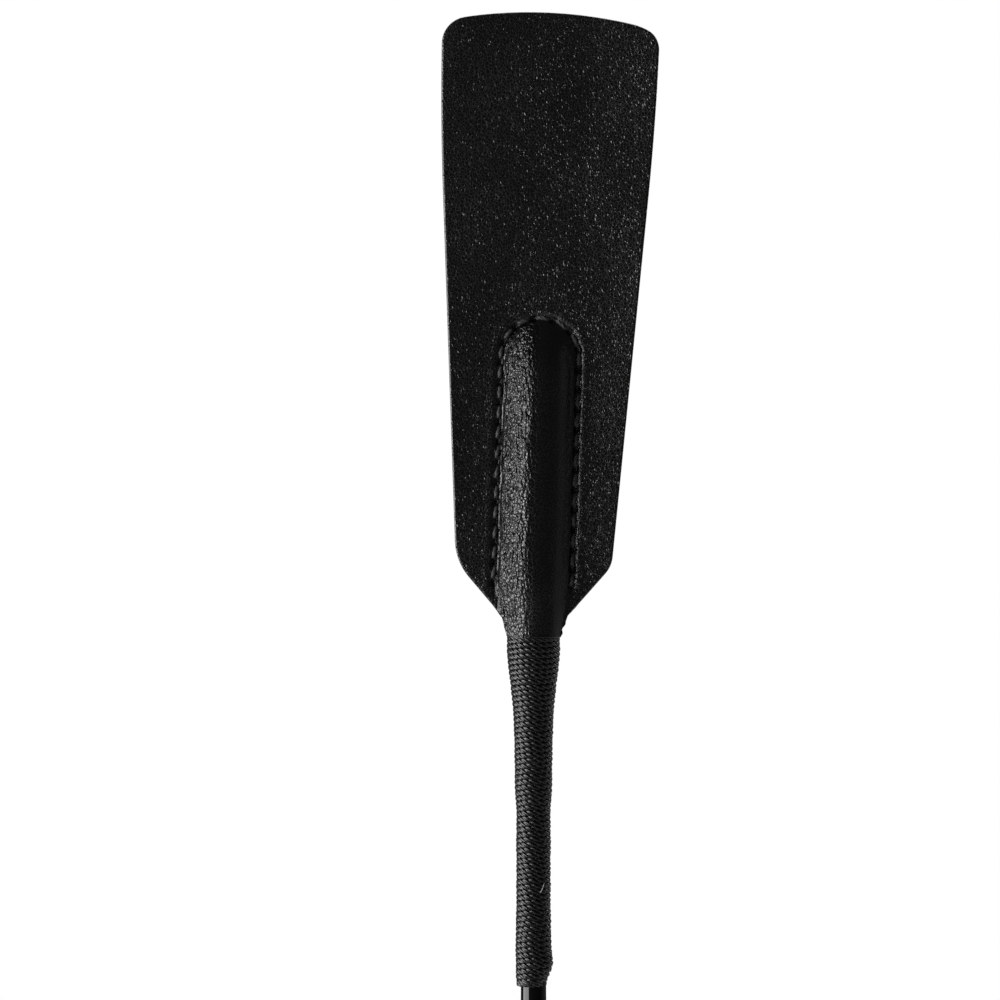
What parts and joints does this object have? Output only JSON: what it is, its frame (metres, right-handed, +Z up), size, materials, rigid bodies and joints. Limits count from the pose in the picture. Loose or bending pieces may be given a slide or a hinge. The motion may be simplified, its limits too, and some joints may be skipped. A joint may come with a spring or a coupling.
{
  "type": "riding crop",
  "caption": "Riding crop: broad tapered leather keeper with a stitched round-ended pocket, thread-bound to a slim gloss shaft, with a leather grip, flared butt cap and wrist strap.",
  "frame": {"origin": "the centre of the grip, on the shaft's axis, where the hand closes", "axes": "+Z runs up the shaft from the grip towards the keeper, the keeper's front face looks along -Y, and +X is to the right seen from the front"},
  "size_m": [0.0435, 0.0398, 0.7357],
  "materials": {
    "keeper_leather": "pebbled, semi-gloss",
    "grip_leather": "smooth, satin",
    "thread": "waxed",
    "gloss_cover": "gloss",
    "plastic": "satin",
    "fibreglass": "satin",
    "felt": "matt",
    "wood": "plain",
    "nickel": "polished"
  },
  "bodies": {
    "stick": {"rod": "fibreglass", "rod_end_cap": "plastic", "shaft_cover": "gloss_cover", "pocket_padding": "felt", "keeper_front": "keeper_leather", "keeper_back": "keeper_leather", "keeper_seam_front": "thread", "keeper_seam_back": "thread", "tip_whipping": "thread", "grip_core": "wood", "grip_hide": "grip_leather", "grip_seam": "thread", "grip_whipping": "thread", "butt_cap": "plastic", "cap_pin": "nickel"},
    "tongue": {"keeper_front_tip": "keeper_leather", "keeper_back_tip": "keeper_leather"},
    "strap": {"wrist_strap": "grip_leather", "strap_rivet": "nickel", "strap_rivet_cap": "nickel"}
  },
  "joints": [
    {"name": "keeper_flex", "type": "hinge", "parent": "stick", "child": "tongue", "pos_m": [0.00226, 0, 0.45496], "axis": [0.9995, 0, -0.0323], "range_deg": [-50, 50], "stiffness_Nm_per_rad": 0.1},
    {"name": "strap_swing", "type": "hinge", "parent": "stick", "child": "strap", "pos_m": [0, 0, -0.093], "axis": [1, 0, 0], "range_deg": [-38, 38]}
  ]
}
